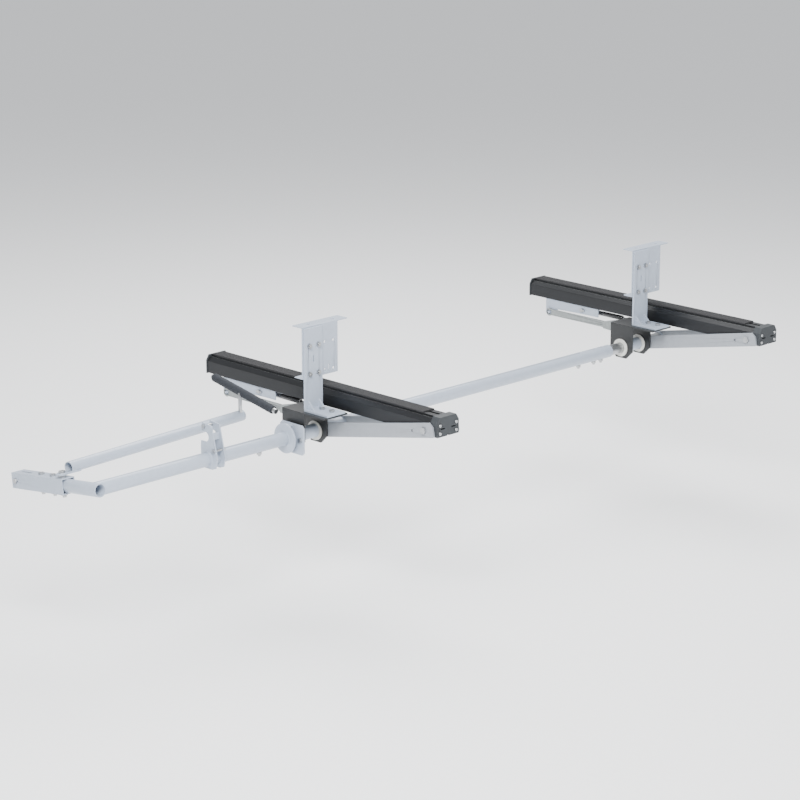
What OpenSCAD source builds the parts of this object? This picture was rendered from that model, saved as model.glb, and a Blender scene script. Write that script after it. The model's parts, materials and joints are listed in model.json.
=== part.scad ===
// Drop-down ladder rack: two load beams on swing arms, one torque tube and a folding crank handle.
// +X runs along the beams to their outer ends, +Y along the torque tube, +Z up, in millimetres.
// The origin is the centre of the rear unit's roof bolt holes. Inside at_roof() the drive axis is X = Z = 0.

/* [Overall] */
// Distance between the rear and the front unit
unit_spacing = 1500; // [1000:10:2200]
// Length of each load beam
beam_length = 1010; // [800:10:1300]
// How far the beam's outer end stands out from the drive axis
beam_reach = 498; // [420:1:620]
// Height of the roof plane above the drive axis
roof_height = 338; // [280:1:420]

/* [Tubes] */
// Outside radius of the torque tube and the extension tube
tube_r = 21; // [16:0.5:26]
// Wall of every round tube
tube_wall = 3; // [2:0.5:5]
// Gap between a turning part and its bearing, on the radius
run_gap = 0.05; // [0.01:0.01:0.1]
// Length of the extension tube behind the rear unit
extension = 714; // [400:1:1000]

/* [Beam] */
// Width of the load beam
beam_w = 85; // [70:1:110]
// Height of the beam's side wall
beam_side = 38; // [30:1:50]
// Height and width of the beam's 45 degree chamfer
beam_chamfer = 12; // [8:1:16]
// Height of the beam's bottom above the drive axis
beam_z = 79; // [70:1:95]
// Wall of the beam extrusion
beam_wall = 3; // [2:0.5:4]
// Height of the rubber strip's ribs
rib_h = 4; // [2:0.5:6]

/* [Arms and plates] */
// Thickness of the swing arms
arm_t = 6; // [4:0.5:8]
// Height of the swing arms
arm_h = 44; // [36:1:56]
// Radius of the arm pivot bolt
pivot_r = 6; // [4:0.5:8]
// Distance of the arm pivot bolt from the beam's outer end
pivot_inset = 43; // [30:1:60]
// Height of the arm pivot bolt above the beam's bottom
pivot_rise = 13; // [11:0.5:20]
// Thickness of the pivot plates
plate_t = 5; // [3:0.5:8]
// Side gap between pieces that move past each other
side_gap = 1.5; // [1:0.5:4]

/* [Mount] */
// Width of the mount strap
strap_w = 72; // [50:1:90]
// Thickness of the mount strap
strap_t = 6; // [4:0.5:8]
// Spacing of the two roof bolts
roof_pitch = 100; // [60:1:140]
// Radius of the roof bolt holes
roof_hole_r = 5.5; // [4:0.5:7]

/* [Tail linkage] */
// Distance from the drive axis back to the tail link's fixed pivot
link_root_x = 150; // [140:1:170]
// Distance from the drive axis back to the tail pin
link_tail_x = 420; // [380:1:460]
// Height of both link pivots above the drive axis
link_z = 33; // [28:1:38]
// Height of the gas strut above the drive axis
strut_z = 62; // [58:1:64]

/* [Handle] */
// Slope of the crank below the horizontal, in degrees
crank_tilt = 7.5; // [0:0.5:15]
// Length of the handle channel
channel_length = 240; // [160:1:300]
// Outside size of the square handle channel
channel_size = 46; // [40:1:60]
// Radius of the folding lever
lever_r = 17; // [12:0.5:20]
// Height of the spacer that lifts the lever over the channel's bolt heads
lever_spacer = 7; // [6.5:0.5:12]
// Outside radius of the foam grip
grip_r = 13; // [11:0.5:16]

/* [Hidden] */
$fn = 64;
far_arm_spacer = 8;
// the front shaft telescopes into the torque tube
shaft_r = tube_r - tube_wall;
plate_outer_y = 39;
plate_inner_y = plate_outer_y + 91;
arm_near_y = plate_inner_y + plate_t / 2 + side_gap;
beam_y0 = arm_near_y + arm_t + 3;
beam_y1 = beam_y0 + beam_w;
arm_far_y = beam_y1 + far_arm_spacer;
beam_x0 = beam_reach - beam_length;
beam_top = beam_z + beam_side + beam_chamfer;
pin_x = beam_reach - pivot_inset;
pin_z = beam_z + pivot_rise;
arm_slope = atan(pin_z / pin_x);
arm_length = sqrt(pin_x * pin_x + pin_z * pin_z);
plate_top = beam_z - 3;
saddle_top = plate_top + 5;
plate_half = 47;
bush_r = tube_r + 5;
roof_x = 13;
roof_y = 140;
adapter_x = 35;
anchor_y = plate_inner_y + plate_t / 2;
anchor_t = 6;
link_y = anchor_y + anchor_t + side_gap;
link_t = 5;
bracket_y = link_y + link_t + side_gap;
bracket_t = 4;
strut_y = bracket_y + 17;
strut_r = 9;
strut_pin_r = 4;
strut_base_x = -plate_half + 2;
strut_beam_x = strut_base_x - 170;
wing_x = -270;
wing_z = beam_z - 15;
crank_y = -extension;
cross_r = channel_size / 2 - 3;
lever_x = -145;
lever_lift = channel_size / 2 + lever_spacer;
lever_end = [-215, 24, 24];
grip_a = [-53, 18, 69];
grip_b = [-341, 18, 123];
post_x = lever_end[0] + 8;
channel_bolt_x = [lever_x - 45, lever_x - 99];
tube_bolt_y = [-99, unit_spacing - 178, unit_spacing - 102, unit_spacing - 66];
hood = 24;
keeper_bolt_at = [[-12, 97], [30, 30]];
hood_wall = 1.8;
grip_bar_r = 8;

// Which node to draw

// Puts a piece drawn about the drive axis into the part's frame.
module at_roof(unit = 0) {
    translate([-roof_x, unit * unit_spacing - roof_y, -roof_height]) children();
}

// A plate whose outline is drawn with X to the right and Z up, from y0 towards +Y.
module xz_plate(y0, t) {
    translate([0, y0 + t, 0]) rotate([90, 0, 0]) linear_extrude(t) children();
}

// A round bar along +Y.
module y_rod(x, z, y0, y1, r) {
    translate([x, y0, z]) rotate([-90, 0, 0]) cylinder(r = r, h = y1 - y0);
}

// A round bar along +X.
module x_rod(x0, x1, y, z, r) {
    translate([x0, y, z]) rotate([0, 90, 0]) cylinder(r = r, h = x1 - x0);
}

// A round bar between two points.
module bar_between(a, b, r) {
    d = b - a;
    translate(a) rotate([0, acos(d[2] / norm(d)), atan2(d[1], d[0])]) cylinder(r = r, h = norm(d));
}

// A hexagon bolt head or nut along +Y.
module y_hex(x, z, y0, y1, r) {
    translate([x, y0, z]) rotate([-90, 0, 0]) cylinder(r = r, h = y1 - y0, $fn = 6);
}

// ---- Load beam ----
module beam_outline(inset) {
    c = beam_chamfer;
    polygon([[beam_y0 + inset, beam_z + inset], [beam_y1 - inset, beam_z + inset],
        [beam_y1 - inset, beam_z + beam_side - inset * 0.4],
        [beam_y1 - c - inset * 0.4, beam_top - inset],
        [beam_y0 + c + inset * 0.4, beam_top - inset],
        [beam_y0 + inset, beam_z + beam_side - inset * 0.4]]);
}

module along_beam(x0, x1) {
    translate([x0, 0, 0]) rotate([90, 0, 90]) linear_extrude(x1 - x0) children();
}

module load_beam(u) at_roof(u) color([0.09, 0.09, 0.1]) difference() {
    union() {
        difference() {
            along_beam(beam_x0, beam_reach) beam_outline(0);
            along_beam(beam_x0 - 1, beam_reach + 1) beam_outline(beam_wall);
        }
        // raised centre strip with the accessory slot
        difference() {
            translate([beam_x0, beam_y0 + 19, beam_top]) cube([beam_length, beam_w - 38, 5]);
            translate([beam_x0 - 1, beam_y0 + beam_w / 2 - 5, beam_top]) cube([beam_length + 2, 10, 6]);
        }
    }
    y_rod(pin_x, pin_z, beam_y0 - 1, beam_y1 + 1, pivot_r + run_gap);
}

module rubber_strip(u) at_roof(u) color([0.16, 0.16, 0.17]) {
    x0 = beam_x0 + 2;
    x1 = beam_reach - 74;
    n = 7;
    pitch = (beam_w - 38) / n;
    translate([x0, beam_y0 + 19, beam_top + 5]) cube([x1 - x0, beam_w - 38, 1.5]);
    for (i = [0:n - 1])
        translate([x0, beam_y0 + 19 + pitch * (i + 0.2), beam_top + 6.5])
            cube([x1 - x0, pitch * 0.6, rib_h - 1.5]);
}

// A cap plate over the beam's end, cut by the slot halves and the drain notch.
// The outer cap also has a hood that wraps back over the beam.
module end_cap(u, x0, wrap) at_roof(u) color([0.22, 0.23, 0.24]) difference() {
    translate([x0 - wrap, 0, 0]) rotate([90, 0, 90]) linear_extrude(5 + wrap) polygon([
        [beam_y0 - hood_wall, beam_z - 2], [beam_y1 + hood_wall, beam_z - 2],
        [beam_y1 + hood_wall, beam_z + beam_side + 2],
        [beam_y1 - beam_chamfer + 3, beam_top + 7], [beam_y0 + beam_chamfer - 3, beam_top + 7],
        [beam_y0 - hood_wall, beam_z + beam_side + 2]]);
    if (wrap > 0) {
        along_beam(x0 - wrap - 1, x0) beam_outline(0);
        translate([x0 - wrap - 1, beam_y0 + 19, beam_top - 1]) cube([wrap + 1, beam_w - 38, 6]);
    }
    for (s = [-1, 1])
        translate([x0 - 1, beam_y0 + beam_w / 2 + s * 22 - 9, beam_z + 20]) cube([7, 18, 4]);
    translate([x0 - 1, beam_y0 + beam_w / 2 - 3, beam_z - 3]) cube([7, 6, 6]);
    for (y = [beam_y0 + 9, beam_y1 - 9], z = [beam_z + 9, beam_z + beam_side - 5])
        x_rod(x0 - 1, x0 + 6, y, z, 2.5);
}

module cap_screws(u) at_roof(u) color([0.75, 0.76, 0.77])
    for (side = [0, 1], y = [beam_y0 + 9, beam_y1 - 9], z = [beam_z + 9, beam_z + beam_side - 5]) {
        x = side == 0 ? beam_x0 - 5 : beam_reach;
        x_rod(x, x + 5, y, z, 2.5);
        x_rod(side == 0 ? x - 3 : x + 5, side == 0 ? x : x + 8, y, z, 5);
    }

// ---- Swing arms ----
module arm_outline(hole_r) {
    difference() {
        rotate(arm_slope) union() {
            circle(r = hole_r + 5);
            polygon([[0, -arm_h / 2], [arm_length + 33, -arm_h / 2], [arm_length + 36, -arm_h / 2 + 4],
                [arm_length + 36, arm_h / 2 - 14], [arm_length + 24, arm_h / 2], [0, arm_h / 2]]);
        }
        circle(r = hole_r);
        rotate(arm_slope) translate([arm_length, 0]) circle(r = pivot_r);
        rotate(arm_slope) translate([arm_length - 50, 0]) circle(r = 4);
    }
}

module arm(u, y0, hole_r) at_roof(u) color([0.72, 0.73, 0.75]) xz_plate(y0, arm_t) arm_outline(hole_r);

module pivot_bolt(u) at_roof(u) color([0.75, 0.76, 0.77]) {
    y_rod(pin_x, pin_z, arm_near_y, arm_far_y + arm_t, pivot_r);
    y_hex(pin_x, pin_z, arm_near_y - 7, arm_near_y, 11);
    y_hex(pin_x, pin_z, arm_far_y + arm_t, arm_far_y + arm_t + 8, 11);
    y_rod(pin_x, pin_z, arm_far_y - far_arm_spacer + hood_wall + 1, arm_far_y, 10);
}

// ---- Pivot plates and mount ----
module pivot_plate(u, y) at_roof(u) color([0.13, 0.13, 0.13]) xz_plate(y - plate_t / 2, plate_t) difference() {
    polygon([[-plate_half, plate_top], [-plate_half, -9], [-20, -bush_r - 9], [24, -bush_r - 9],
        [plate_half + 3, -9], [plate_half + 3, plate_top]]);
    circle(r = bush_r);
}

module saddle(u) at_roof(u) color([0.13, 0.13, 0.13]) difference() {
    translate([-plate_half, plate_outer_y - plate_t / 2, plate_top])
        cube([plate_half + 137, plate_inner_y - plate_outer_y + plate_t, saddle_top - plate_top]);
    for (x = [70, 112]) translate([x, 92, plate_top - 1]) cylinder(r = 5, h = 7);
}

module bushes(u, r) at_roof(u) color([0.85, 0.85, 0.82]) for (y = [plate_outer_y, plate_inner_y]) {
    outward = y == plate_outer_y ? -1 : 0;
    difference() {
        union() {
            y_rod(0, 0, y - plate_t / 2, y + plate_t / 2, bush_r);
            if (outward == -1) y_rod(0, 0, y - plate_t / 2 - 4, y - plate_t / 2, bush_r + 4);
            if (outward == 0) y_rod(0, 0, y - plate_t / 2 - 4, y - plate_t / 2, bush_r + 4);
        }
        y_rod(0, 0, y - plate_t / 2 - 5, y + plate_t / 2 + 1, r + run_gap);
    }
}

module strap(u) at_roof(u) color([0.9, 0.92, 0.95]) difference() {
    union() {
        translate([adapter_x, 50, saddle_top]) cube([strap_t, strap_w, roof_height - 4 - saddle_top]);
        translate([adapter_x, 50, saddle_top]) cube([102, strap_w, strap_t]);
        for (y = [62, 104])
            xz_plate(y, 6) polygon([[adapter_x + strap_t, saddle_top + strap_t],
                [adapter_x + 30, saddle_top + strap_t], [adapter_x + strap_t, saddle_top + 30]]);
    }
    for (x = [70, 112]) translate([x, 92, saddle_top - 1]) cylinder(r = 5, h = strap_t + 2);
    for (y = [68, 104], z = [194, 280]) x_rod(adapter_x - 1, adapter_x + strap_t + 1, y, z, 4);
    translate([adapter_x - 1, 84, 228]) cube([strap_t + 2, 4, 20]);
}

module adapter(u) at_roof(u) color([0.9, 0.92, 0.95]) difference() {
    union() {
        translate([adapter_x - 3, 46, 179]) cube([3, 144, roof_height - 179]);
        translate([-9, 46, roof_height - 3]) cube([adapter_x + 9, 184, 3]);
        translate([0, 46, 179]) cube([adapter_x, 144, 3]);
    }
    for (y = [68, 104, 137, 172], z = [194, 280]) x_rod(adapter_x - 4, adapter_x + 1, y, z, 4);
    translate([adapter_x - 4, 152, 184]) cube([5, 4, 24]);
    for (s = [-1, 1])
        translate([roof_x, roof_y + s * roof_pitch / 2, roof_height - 4]) cylinder(r = roof_hole_r, h = 5);
}

module strap_bolts(u) at_roof(u) color([0.75, 0.76, 0.77]) for (y = [68, 104], z = [194, 280]) {
    x_rod(adapter_x - 3, adapter_x + strap_t + 10, y, z, 4);
    translate([adapter_x + strap_t, y, z]) rotate([0, 90, 0]) cylinder(r = 8, h = 6, $fn = 6);
    translate([adapter_x - 8, y, z]) rotate([0, 90, 0]) cylinder(r = 8, h = 5, $fn = 6);
}

module foot_bolts(u) at_roof(u) color([0.75, 0.76, 0.77]) for (x = [70, 112]) translate([x, 92, 0]) {
    translate([0, 0, plate_top]) cylinder(r = 5, h = saddle_top + strap_t - plate_top);
    translate([0, 0, saddle_top + strap_t]) cylinder(r = 9, h = 6, $fn = 6);
    translate([0, 0, plate_top - 6]) cylinder(r = 9, h = 6, $fn = 6);
}

// ---- Tail linkage ----
module link_anchor(u) at_roof(u) color([0.62, 0.64, 0.64]) {
    xz_plate(anchor_y, anchor_t) polygon([[-link_root_x - 14, link_z - 12], [-30, 12], [-30, strut_z + 10],
        [-plate_half - 12, strut_z + 10], [-link_root_x - 14, link_z + 12]]);
    y_rod(-link_root_x, link_z, anchor_y + anchor_t, bracket_y + 1, pivot_r);
    y_rod(-link_root_x, link_z, link_y + link_t + 1, link_y + link_t + 5, 9);
    y_rod(strut_base_x, strut_z, anchor_y + anchor_t, strut_y + 8, strut_pin_r);
}

module tail_link(u) at_roof(u) color([0.62, 0.64, 0.64]) xz_plate(link_y, link_t) difference() {
    union() {
        translate([-link_tail_x, link_z - 11]) square([link_tail_x - link_root_x, 22]);
        translate([-link_tail_x, link_z]) circle(r = 14);
        translate([-link_root_x, link_z]) circle(r = 11);
    }
    translate([-link_root_x, link_z]) circle(r = pivot_r + run_gap);
    // the tail pin's slot, which takes up the linkage's small misfit
    translate([-link_tail_x - 10, link_z - 7]) square([20, 14]);
}

module tail_bracket(u) at_roof(u) color([0.88, 0.9, 0.93]) {
    difference() {
        xz_plate(bracket_y, bracket_t) polygon([[-441, beam_z], [-441, link_z - 8], [-link_tail_x + 14, link_z - 8],
            [-385, link_z + 14], [-240, 50], [-200, 50], [-200, beam_z]]);
        y_rod(wing_x, wing_z, bracket_y - 1, bracket_y + bracket_t + 1, 4 + run_gap);
    }
    translate([-441, bracket_y, beam_z - 4]) cube([241, 48, 4]);
    y_rod(-link_tail_x, link_z, link_y - 3, bracket_y, 4);
    y_rod(strut_beam_x, strut_z, bracket_y + bracket_t, strut_y + 8, strut_pin_r);
}

module strut_eye(x, hole) y_rod_ring(x, strut_z, strut_y - 4, strut_y + 4, 9, hole);

module y_rod_ring(x, z, y0, y1, r, hole) difference() {
    y_rod(x, z, y0, y1, r);
    y_rod(x, z, y0 - 1, y1 + 1, hole);
}

module strut_cylinder(u) at_roof(u) color([0.15, 0.15, 0.16]) {
    strut_eye(strut_beam_x, strut_pin_r + run_gap);
    difference() {
        x_rod(strut_beam_x + 8.5, strut_base_x - 58, strut_y, strut_z, strut_r - 0.5);
        x_rod(strut_beam_x + 22, strut_base_x - 57, strut_y, strut_z, 4 + run_gap);
        y_rod(strut_beam_x, strut_z, strut_y - 10, strut_y + 10, 8);
    }
}

module strut_rod(u) at_roof(u) color([0.8, 0.81, 0.82]) {
    strut_eye(strut_base_x, strut_pin_r + 2.5);
    difference() {
        x_rod(strut_base_x - 117, strut_base_x - 7.5, strut_y, strut_z, 4);
        y_rod(strut_base_x, strut_z, strut_y - 10, strut_y + 10, 8);
    }
}

module wing_bolt(u) at_roof(u) color([0.75, 0.76, 0.77]) {
    y_rod(wing_x, wing_z, bracket_y - 8, bracket_y + bracket_t + 8, 4);
    y_rod(wing_x, wing_z, bracket_y - 8, bracket_y - 0.5, 6);
    translate([wing_x - 11, bracket_y - 7, wing_z - 3]) cube([22, 5, 6]);
}

// ---- Drive ----
module y_tube(y0, y1, r, wall) difference() {
    y_rod(0, 0, y0, y1, r);
    y_rod(0, 0, y0 - 1, y1 + 1, r - wall);
}

module torque_tube() at_roof() color([0.9, 0.92, 0.95]) difference() {
    y_tube(arm_near_y - 116, unit_spacing - 27, tube_r, tube_wall);
    for (y = tube_bolt_y) translate([0, y, -tube_r - 1]) cylinder(r = 4, h = tube_r * 2 + 2);
}

module front_shaft() at_roof() color([0.82, 0.84, 0.87]) difference() {
    y_tube(unit_spacing - 230, unit_spacing + arm_far_y + arm_t + 4, shaft_r, tube_wall);
    for (y = tube_bolt_y) translate([0, y, -tube_r - 1]) cylinder(r = 4, h = tube_r * 2 + 2);
}

module front_collar() at_roof(1) color([0.9, 0.92, 0.95]) difference() {
    y_rod(0, 0, plate_outer_y + plate_t / 2 + 2, plate_inner_y - plate_t / 2 - 6, tube_r);
    y_rod(0, 0, 0, 200, shaft_r);
}

module extension_tube() at_roof() color([0.9, 0.92, 0.95]) difference() {
    y_tube(crank_y, arm_near_y - 116, tube_r, tube_wall);
    rotate([0, -crank_tilt, 0]) x_rod(-60, 60, crank_y, 0, cross_r);
    for (y = tube_bolt_y) translate([0, y, -tube_r - 1]) cylinder(r = 4, h = tube_r * 2 + 2);
}

module clamp_bracket() at_roof() color([0.9, 0.92, 0.95]) {
    xz_plate(2, 5) difference() {
        circle(r = 46);
        circle(r = tube_r);
    }
    xz_plate(21, 5) difference() {
        polygon([[-40, 38], [-32, 46], [56, 46], [64, 38], [64, -38], [56, -46], [-32, -46], [-40, -38]]);
        circle(r = tube_r);
    }
    translate([-15, 7, 37]) cube([30, 14, 5]);
    translate([-15, 7, -42]) cube([30, 14, 5]);
}

module tube_bolts() at_roof() color([0.75, 0.76, 0.77]) {
    for (y = tube_bolt_y) translate([0, y, 0]) {
        translate([0, 0, -tube_r - 12]) cylinder(r = 4, h = tube_r + 12);
        translate([0, 0, -tube_r - 7]) cylinder(r = 8, h = 7, $fn = 6);
    }
    y_hex(50, 0, 15, 21, 8);
}

module cross_tube() at_roof() color([0.9, 0.92, 0.95]) rotate([0, -crank_tilt, 0]) difference() {
    x_rod(lever_x + 5, 25, crank_y, 0, cross_r);
    x_rod(lever_x + 4, 26, crank_y, 0, cross_r - tube_wall);
}

module handle_channel() at_roof() color([0.9, 0.92, 0.95]) rotate([0, -crank_tilt, 0]) difference() {
    c = channel_size;
    translate([lever_x + 25 - channel_length, crank_y - c / 2, -c / 2]) cube([channel_length, c, c]);
    translate([lever_x + 24 - channel_length, crank_y - c / 2 + 3, -c / 2 + 3]) cube([channel_length + 2, c - 6, c - 6]);
    for (x = concat([lever_x], channel_bolt_x))
        translate([x, crank_y, -c / 2 - 1]) cylinder(r = x == lever_x ? pivot_r : 5, h = c + 2);
    translate([lever_x - 195, crank_y - 4, c / 2 - 4]) cube([50, 8, 5]);
    y_rod(lever_x - 195, 0, crank_y - c / 2 - 1, crank_y - c / 2 + 4, 4);
}

module channel_bolts() at_roof() color([0.75, 0.76, 0.77]) rotate([0, -crank_tilt, 0]) {
    c = channel_size;
    for (x = channel_bolt_x) translate([x, crank_y, 0]) {
        translate([0, 0, -c / 2 - 12]) cylinder(r = 5, h = c + 12);
        for (z = [-c / 2 - 6, c / 2]) translate([0, 0, z]) cylinder(r = 9, h = 6, $fn = 6);
    }
    difference() {
        union() {
            translate([lever_x, crank_y, -c / 2 - 12]) cylinder(r = pivot_r, h = c + lever_spacer + 20);
            translate([lever_x, crank_y, -c / 2 - 6]) cylinder(r = 10, h = 6, $fn = 6);
            translate([lever_x, crank_y, c / 2]) cylinder(r = 12, h = lever_spacer - 0.2);
        }
        x_rod(lever_x + 5, 25, crank_y, 0, cross_r);
    }
    translate([lever_x, crank_y, lever_lift + 6.2]) cylinder(r = 10, h = 6, $fn = 6);
    y_rod(lever_x - 195, 0, crank_y - c / 2 - 3, crank_y - c / 2 + 3, 4);
    y_hex(lever_x - 195, 0, crank_y - c / 2 - 6, crank_y - c / 2, 8);
}

module folding_lever() at_roof() color([0.9, 0.92, 0.95]) {
    root = [lever_x - 6, crank_y + 26, 26];
    rotate([0, -crank_tilt, 0]) translate([lever_x, crank_y, lever_lift]) difference() {
        union() {
            cylinder(r = 16, h = 6);
            translate([-12, 0, 0]) cube([24, 60, 6]);
        }
        translate([0, 0, -1]) cylinder(r = pivot_r + run_gap, h = 8);
    }
    difference() {
        bar_between(root, lever_end, lever_r);
        bar_between(root - (lever_end - root) / 50, lever_end - (lever_end - root) / 150, lever_r - 2.5);
        rotate([0, -crank_tilt, 0]) translate([lever_x - 60, crank_y - 60, -50]) cube([140, 160, 50 + lever_lift]);
        grip_post();
    }
}

// The post that carries the grip over the lever's end.
module grip_post() translate([post_x, grip_a[1] - 8, lever_end[2] + lever_r - 4]) cylinder(r = 6, h = 62);

module grip_bar() at_roof() color([0.82, 0.84, 0.87]) {
    bar_between(grip_a, grip_b, grip_bar_r);
    grip_post();
}

module foam_grip() at_roof() color([0.17, 0.19, 0.22]) {
    d = (grip_b - grip_a) / norm(grip_b - grip_a);
    difference() {
        bar_between(grip_a + d * 12, grip_b - d * 6, grip_r);
        bar_between(grip_a, grip_b, grip_bar_r);
        grip_post();
    }
}

module keeper_bracket() at_roof() color([0.9, 0.92, 0.95]) {
    for (y = [-300, -270]) xz_plate(y, 4) difference() {
        polygon([[-22, 108], [20, 104], [44, 8], [36, -22], [20, -28], [-20, -28], [-28, 0], [-28, 34]]);
        circle(r = tube_r);
        translate([-30, 52]) square([22, 30]);
        translate([-8, 67]) circle(r = 15);
        for (p = keeper_bolt_at) translate(p) circle(r = 4);
    }
    translate([14, -296, 60]) cube([5, 26, 20]);
}

module keeper_bolts() at_roof() color([0.75, 0.76, 0.77]) for (p = keeper_bolt_at) {
    y_rod(p[0], p[1], -304, -262, 4);
    y_hex(p[0], p[1], -305, -300, 7);
    y_hex(p[0], p[1], -266, -261, 7);
}

load_beam(0);  // rear_load_beam
rubber_strip(0);  // rear_rubber_strip
end_cap(0, beam_reach, hood);  // rear_outer_cap
end_cap(0, beam_x0 - 5, 0);  // rear_inner_cap
cap_screws(0);  // rear_cap_screws
arm(0, arm_near_y, tube_r);  // rear_arm_near
arm(0, arm_far_y, tube_r);  // rear_arm_far
pivot_bolt(0);  // rear_pivot_bolt
pivot_plate(0, plate_outer_y);  // rear_plate_outer
pivot_plate(0, plate_inner_y);  // rear_plate_inner
saddle(0);  // rear_saddle
bushes(0, tube_r);  // rear_bushes
strap(0);  // rear_strap
adapter(0);  // rear_adapter
strap_bolts(0);  // rear_strap_bolts
foot_bolts(0);  // rear_foot_bolts
link_anchor(0);  // rear_link_anchor
tail_link(0);  // rear_tail_link
tail_bracket(0);  // rear_tail_bracket
strut_cylinder(0);  // rear_strut_cylinder
strut_rod(0);  // rear_strut_rod
wing_bolt(0);  // rear_wing_bolt
load_beam(1);  // front_load_beam
rubber_strip(1);  // front_rubber_strip
end_cap(1, beam_reach, hood);  // front_outer_cap
end_cap(1, beam_x0 - 5, 0);  // front_inner_cap
cap_screws(1);  // front_cap_screws
arm(1, arm_near_y, shaft_r);  // front_arm_near
arm(1, arm_far_y, shaft_r);  // front_arm_far
pivot_bolt(1);  // front_pivot_bolt
pivot_plate(1, plate_outer_y);  // front_plate_outer
pivot_plate(1, plate_inner_y);  // front_plate_inner
saddle(1);  // front_saddle
bushes(1, shaft_r);  // front_bushes
strap(1);  // front_strap
adapter(1);  // front_adapter
strap_bolts(1);  // front_strap_bolts
foot_bolts(1);  // front_foot_bolts
link_anchor(1);  // front_link_anchor
tail_link(1);  // front_tail_link
tail_bracket(1);  // front_tail_bracket
strut_cylinder(1);  // front_strut_cylinder
strut_rod(1);  // front_strut_rod
wing_bolt(1);  // front_wing_bolt
torque_tube();
front_shaft();
front_collar();
extension_tube();
clamp_bracket();
tube_bolts();
cross_tube();
handle_channel();
channel_bolts();
folding_lever();
grip_bar();
foam_grip();
keeper_bracket();
keeper_bolts();
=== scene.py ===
"""Looks of the drop-down ladder rack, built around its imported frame. Metres, +Z up."""
import json
import math

import bmesh
import bpy
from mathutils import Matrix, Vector


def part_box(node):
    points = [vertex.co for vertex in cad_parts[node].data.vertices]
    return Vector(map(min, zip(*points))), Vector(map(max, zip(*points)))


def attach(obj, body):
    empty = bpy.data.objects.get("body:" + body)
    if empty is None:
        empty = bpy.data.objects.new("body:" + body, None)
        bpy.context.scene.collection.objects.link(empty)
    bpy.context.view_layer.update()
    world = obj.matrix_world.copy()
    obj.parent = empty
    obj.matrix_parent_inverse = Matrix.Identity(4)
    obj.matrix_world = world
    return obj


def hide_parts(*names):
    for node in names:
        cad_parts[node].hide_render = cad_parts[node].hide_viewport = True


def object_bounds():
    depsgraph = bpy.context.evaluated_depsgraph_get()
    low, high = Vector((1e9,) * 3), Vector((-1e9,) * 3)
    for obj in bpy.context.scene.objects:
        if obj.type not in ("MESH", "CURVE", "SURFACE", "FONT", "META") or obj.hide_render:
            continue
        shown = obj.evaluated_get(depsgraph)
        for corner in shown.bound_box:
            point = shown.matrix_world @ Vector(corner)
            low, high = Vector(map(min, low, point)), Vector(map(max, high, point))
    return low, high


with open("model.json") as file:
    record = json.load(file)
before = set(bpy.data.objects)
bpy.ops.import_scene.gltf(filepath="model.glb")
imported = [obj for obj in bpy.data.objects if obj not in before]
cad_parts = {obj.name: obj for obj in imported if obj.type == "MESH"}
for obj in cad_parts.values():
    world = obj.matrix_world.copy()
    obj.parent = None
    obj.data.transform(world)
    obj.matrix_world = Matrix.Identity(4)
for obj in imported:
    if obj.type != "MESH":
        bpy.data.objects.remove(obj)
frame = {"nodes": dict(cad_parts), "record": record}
cad_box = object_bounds()

MM = 0.001
UNITS = ("rear", "front")
TURNS = 48
WELD_R = 2.2 * MM
THREAD_R = 0.45 * MM
FLOOR_DROP = 0.45
HEX_FLAT = math.sqrt(3) / 2


# ---- Materials ----
def material(name, colour, rough, metal=0.0, scale=60.0, spread=0.12, grain=500.0, bump=0.05, coat=0.0,
             stretch=(1.0, 1.0, 1.0)):
    """A procedural finish: broad colour drift, changing gloss and a fine surface grain."""
    mat = bpy.data.materials.new(name)
    mat.use_nodes = True
    nodes, links = mat.node_tree.nodes, mat.node_tree.links
    shader = nodes["Principled BSDF"]
    shader.inputs["Metallic"].default_value = metal
    shader.inputs["Coat Weight"].default_value = coat
    place = nodes.new("ShaderNodeTexCoord")
    mapping = nodes.new("ShaderNodeMapping")
    mapping.inputs["Scale"].default_value = stretch
    links.new(place.outputs["Object"], mapping.inputs["Vector"])

    broad = nodes.new("ShaderNodeTexNoise")
    broad.inputs["Scale"].default_value = scale
    broad.inputs["Detail"].default_value = 5.0
    links.new(mapping.outputs["Vector"], broad.inputs["Vector"])
    ramp = nodes.new("ShaderNodeValToRGB")
    for stop, place_at, gain in ((0, 0.3, 1.0 - spread), (1, 0.7, 1.0 + spread)):
        ramp.color_ramp.elements[stop].position = place_at
        ramp.color_ramp.elements[stop].color = [min(1.0, c * gain) for c in colour] + [1.0]
    links.new(broad.outputs["Fac"], ramp.inputs["Fac"])
    links.new(ramp.outputs["Color"], shader.inputs["Base Color"])

    gloss = nodes.new("ShaderNodeMapRange")
    gloss.inputs["To Min"].default_value = max(0.05, rough - 0.08)
    gloss.inputs["To Max"].default_value = min(1.0, rough + 0.08)
    links.new(broad.outputs["Fac"], gloss.inputs["Value"])
    links.new(gloss.outputs["Result"], shader.inputs["Roughness"])

    fine = nodes.new("ShaderNodeTexNoise")
    fine.inputs["Scale"].default_value = grain
    fine.inputs["Detail"].default_value = 3.0
    links.new(mapping.outputs["Vector"], fine.inputs["Vector"])
    relief = nodes.new("ShaderNodeBump")
    relief.inputs["Strength"].default_value = bump
    relief.inputs["Distance"].default_value = 0.4 * MM
    links.new(fine.outputs["Fac"], relief.inputs["Height"])
    links.new(relief.outputs["Normal"], shader.inputs["Normal"])
    return mat


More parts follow.
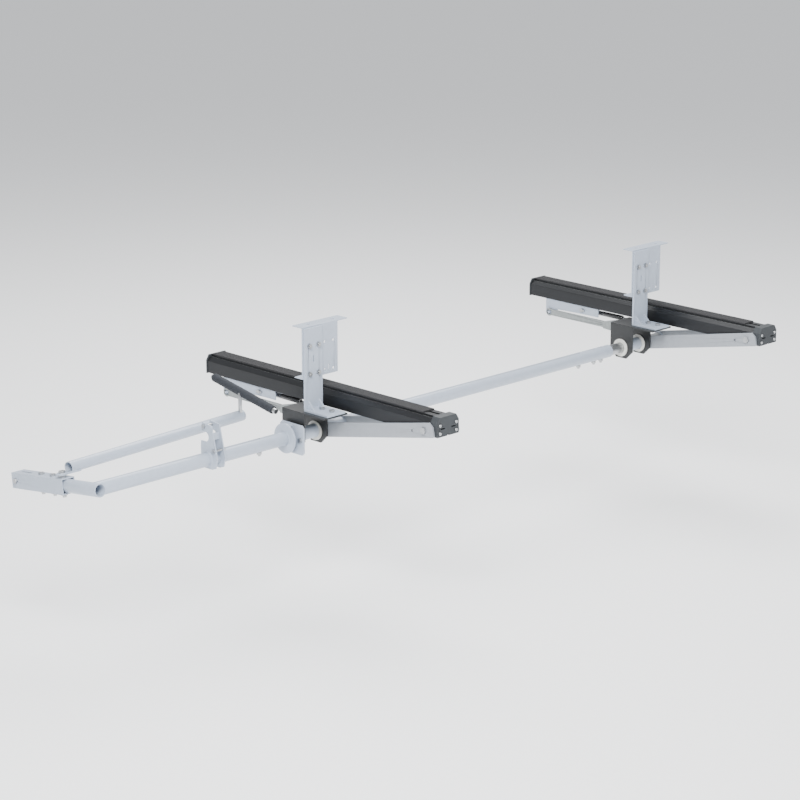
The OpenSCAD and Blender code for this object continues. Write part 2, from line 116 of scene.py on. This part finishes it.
FINISHES = {
    "frame_white": material("white_powder_coat", (0.37, 0.42, 0.50), 0.36, spread=0.03, bump=0.10, coat=0.15),
    "arm_grey": material("arm_grey_coat", (0.30, 0.32, 0.35), 0.40, metal=0.2, spread=0.04, bump=0.08),
    "black_plate": material("black_coat", (0.015, 0.016, 0.017), 0.42, spread=0.2, bump=0.12),
    "beam_black": material("black_anodised", (0.014, 0.015, 0.017), 0.36, metal=0.45, scale=30.0, spread=0.2,
                           grain=900.0, bump=0.04, stretch=(0.05, 1.0, 1.0)),
    "cap_black": material("textured_plastic", (0.026, 0.03, 0.034), 0.62, spread=0.15, grain=1400.0, bump=0.35),
    "strip_rubber": material("ribbed_rubber", (0.022, 0.022, 0.024), 0.78, spread=0.2, grain=800.0, bump=0.25),
    "zinc": material("zinc_plate", (0.42, 0.43, 0.44), 0.30, metal=0.95, scale=140.0, spread=0.12, bump=0.05),
    "link_zinc": material("link_steel", (0.30, 0.32, 0.32), 0.42, metal=0.8, scale=90.0, spread=0.12, bump=0.06),
    "strut_black": material("strut_black_gloss", (0.02, 0.02, 0.022), 0.2, spread=0.15, bump=0.02, coat=0.6),
    "strut_chrome": material("strut_chrome", (0.75, 0.76, 0.78), 0.1, metal=1.0, spread=0.04, bump=0.01),
    "bush_nylon": material("nylon", (0.62, 0.62, 0.58), 0.5, spread=0.06, bump=0.08),
    "foam": material("closed_cell_foam", (0.018, 0.021, 0.027), 0.88, scale=200.0, spread=0.3, grain=1600.0, bump=0.8),
}


def dress_cad():
    """Gives each CAD node the finish of its slot and breaks its sharp edges."""
    slots = {row["node"]: row["material_slot"] for row in frame["record"]["subparts"]}
    for name, obj in frame["nodes"].items():
        for index in range(len(obj.material_slots)):
            obj.material_slots[index].material = FINISHES[slots[name]]
        weld = obj.modifiers.new("weld", "WELD")
        weld.merge_threshold = 0.005 * MM
        edge = obj.modifiers.new("edge", "BEVEL")
        edge.width = 0.5 * MM
        edge.segments = 2
        edge.limit_method = "ANGLE"
        edge.angle_limit = math.radians(40)
        edge.use_clamp_overlap = True


# ---- New pieces ----
def finish_piece(name, mesh_data, body, slot_name):
    """Closes a bmesh into an object that rides on a body."""
    bmesh.ops.recalc_face_normals(mesh_data, faces=mesh_data.faces)
    mesh = bpy.data.meshes.new(name)
    mesh_data.to_mesh(mesh)
    mesh_data.free()
    for face in mesh.polygons:
        face.use_smooth = True
    obj = bpy.data.objects.new(name, mesh)
    bpy.context.scene.collection.objects.link(obj)
    mesh.materials.append(FINISHES[slot_name])
    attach(obj, body)
    return obj


def across(axis):
    """Two unit vectors square to an axis."""
    axis = axis.normalized()
    side = axis.cross(Vector((0, 0, 1)) if abs(axis.z) < 0.9 else Vector((1, 0, 0))).normalized()
    return side, axis.cross(side)


def add_lathe(bm, start, axis, profile, closed=False):
    """Turns (distance along, radius) points about an axis. A closed profile makes a ring."""
    axis = axis.normalized()
    side, up = across(axis)
    rings = []
    for along, radius in profile:
        centre = start + axis * along
        rings.append([bm.verts.new(centre + (side * math.cos(a) + up * math.sin(a)) * radius)
                      for a in (2 * math.pi * k / TURNS for k in range(TURNS))])
    pairs = list(zip(rings, rings[1:]))
    if closed:
        pairs.append((rings[-1], rings[0]))
    for low, high in pairs:
        for k in range(TURNS):
            n = (k + 1) % TURNS
            bm.faces.new((low[k], low[n], high[n], high[k]))
    if not closed:
        bm.faces.new(list(reversed(rings[0])))
        bm.faces.new(rings[-1])


def add_ring(bm, centre, axis, major, minor, steps=10):
    """A round bead about an axis."""
    profile = [(minor * math.sin(2 * math.pi * k / steps), major + minor * math.cos(2 * math.pi * k / steps))
               for k in range(steps)]
    add_lathe(bm, centre, axis, profile, closed=True)


def span(node):
    low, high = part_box(node)
    return Vector(low), Vector(high)


def centre_of(node):
    low, high = span(node)
    return (low + high) / 2


X, Y, Z = Vector((1, 0, 0)), Vector((0, 1, 0)), Vector((0, 0, 1))


def weld_beads():
    """Weld beads where arms, clamp and keeper meet the tubes."""
    tube_low, tube_high = span("torque_tube")
    shaft_low, shaft_high = span("front_shaft")
    axis_x = (tube_low.x + tube_high.x) / 2
    axis_z = (tube_low.z + tube_high.z) / 2
    tube_r = (tube_high.x - tube_low.x) / 2
    shaft_r = (shaft_high.x - shaft_low.x) / 2
    bm = bmesh.new()
    places = [(span("rear_arm_near")[1].y, tube_r), (span("rear_arm_far")[0].y, tube_r),
              (span("rear_arm_far")[1].y, tube_r), (span("front_arm_near")[1].y, shaft_r),
              (span("front_arm_far")[0].y, shaft_r), (span("front_arm_far")[1].y, shaft_r),
              (span("clamp_bracket")[0].y, tube_r), (span("keeper_bracket")[0].y, tube_r),
              (span("keeper_bracket")[1].y, tube_r)]
    for y, radius in places:
        add_ring(bm, Vector((axis_x, y, axis_z)), Y, radius + WELD_R * 0.4, WELD_R)
    return finish_piece("weld_beads", bm, "drive", "frame_white")


def cap_screws(unit):
    """Domed screws with a round socket recess, in place of the plain CAD discs."""
    node = f"{unit}_cap_screws"
    low, high = span(node)
    shank, head_r, head_h = 2.4 * MM, 5 * MM, 3 * MM
    bm = bmesh.new()
    for face_x, inward in ((low.x, X), (high.x, -X)):
        for y in (low.y + head_r, high.y - head_r):
            for z in (low.z + head_r, high.z - head_r):
                profile = [(0.9 * MM, 1.6 * MM), (0.0, 1.9 * MM), (0.0, 2.8 * MM), (0.5 * MM, 3.9 * MM),
                           (1.5 * MM, 4.8 * MM), (2.2 * MM, head_r), (head_h, head_r), (head_h, shank),
                           (head_h + 5 * MM, shank)]
                add_lathe(bm, Vector((face_x, y, z)), inward, profile)
    piece = finish_piece(f"{unit}_domed_screws", bm, f"{unit}_beam", "zinc")
    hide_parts(node)
    return piece


def foam_sleeve():
    """The hand grip: a foam sleeve with rolled ends and shallow finger grooves."""
    low, high = span("foam_grip")
    bar_low, bar_high = span("grip_bar")
    grip_r = (high.y - low.y) / 2
    hole_r = (bar_high.y - bar_low.y) / 2
    mid_y = (low.y + high.y) / 2
    tilt = 0.0
    for _ in range(20):  # the slope whose turned sleeve just fills the node's box
        rise = (high.z - low.z) - 2 * grip_r * math.cos(tilt)
        tilt = math.atan2(rise, (high.x - low.x) - 2 * grip_r * math.sin(tilt))
    start = Vector((high.x - grip_r * math.sin(tilt), mid_y, low.z + grip_r * math.cos(tilt)))
    end = Vector((low.x + grip_r * math.sin(tilt), mid_y, high.z - grip_r * math.cos(tilt)))
    length = (end - start).length
    outer = []
    count = 96
    for k in range(count + 1):
        t = k / count
        edge = min(t, 1 - t) * length
        roll = 1.0 if edge > 5 * MM else 0.72 + 0.28 * math.sqrt(max(0.0, 1 - (1 - edge / (5 * MM)) ** 2))
        groove = 0.35 * MM * (1 - math.cos(2 * math.pi * t * length / (22 * MM))) / 2
        outer.append((t * length, grip_r * roll - groove))
    inner = [(length, hole_r), (0.0, hole_r)]
    bm = bmesh.new()
    add_lathe(bm, start, end - start, outer + inner, closed=True)
    piece = finish_piece("foam_sleeve", bm, "lever", "foam")
    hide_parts("foam_grip")
    return piece


def bolt_threads():
    """Thread ridges on the bolt ends that stand clear of their nuts."""
    for unit in UNITS:
        low, high = span(f"{unit}_strap_bolts")
        bm = bmesh.new()
        reach = 8 * MM
        for y in (low.y + reach * HEX_FLAT, high.y - reach * HEX_FLAT):
            for z in (low.z + reach, high.z - reach):
                for k in range(4):
                    add_ring(bm, Vector((high.x - (0.6 + k) * MM, y, z)), X, 4 * MM, THREAD_R, steps=6)
        finish_piece(f"{unit}_strap_threads", bm, "base", "zinc")


def strut_seals(unit):
    """The rolled end and wiper seal of the gas strut."""
    low, high = span(f"{unit}_strut_cylinder")
    rod = centre_of(f"{unit}_strut_rod")
    body_r = 8.5 * MM
    mid_y = (low.y + high.y) / 2
    bm = bmesh.new()
    for back in (4.0, 12.0):
        add_ring(bm, Vector((high.x - back * MM, mid_y, rod.z)), X, body_r, 0.5 * MM)
    finish_piece(f"{unit}_strut_crimps", bm, f"{unit}_strut", "strut_black")


def stage_and_light():
    low, high = cad_box
    middle = (low + high) / 2
    bpy.ops.mesh.primitive_plane_add(size=60, location=(middle.x, middle.y, low.z - FLOOR_DROP))
    floor = bpy.context.object
    floor.name = "floor"
    floor.data.materials.append(material("pale_floor", (0.97, 0.975, 0.98), 0.85, spread=0.01, bump=0.01))

    world = bpy.data.worlds.new("studio")
    bpy.context.scene.world = world
    world.use_nodes = True
    world.node_tree.nodes["Background"].inputs["Color"].default_value = (0.95, 0.97, 1.0, 1.0)
    world.node_tree.nodes["Background"].inputs["Strength"].default_value = 0.8
    for name, offset, size, power in (("key", (2.5, -3.0, 3.2), 2.2, 420.0), ("fill", (3.5, 1.5, 1.6), 2.6, 40.0),
                                      ("top", (-1.5, 1.5, 3.6), 3.2, 300.0)):
        lamp = bpy.data.lights.new(name, "AREA")
        lamp.size = size
        lamp.energy = power
        obj = bpy.data.objects.new(name, lamp)
        obj.location = middle + Vector(offset)
        obj.rotation_mode = "QUATERNION"
        obj.rotation_quaternion = (middle - obj.location).to_track_quat("-Z", "Y")
        bpy.context.scene.collection.objects.link(obj)


def camera():
    """The camera stands back at the corner between the outer ends and the crank, a little above."""
    azimuth, pitch = math.radians(45.3), math.radians(15.7)
    look = Vector((-math.sin(azimuth) * math.cos(pitch), math.cos(azimuth) * math.cos(pitch), -math.sin(pitch)))
    data = bpy.data.cameras.new("camera")
    data.sensor_width = 36.0
    data.lens = 117.8
    obj = bpy.data.objects.new("camera", data)
    obj.location = (5.550, -5.158, 1.885)
    obj.rotation_mode = "QUATERNION"
    obj.rotation_quaternion = look.to_track_quat("-Z", "Y")
    bpy.context.scene.collection.objects.link(obj)
    bpy.context.scene.camera = obj


dress_cad()
weld_beads()
bolt_threads()
for unit_name in UNITS:
    cap_screws(unit_name)
    strut_seals(unit_name)
foam_sleeve()
stage_and_light()
camera()
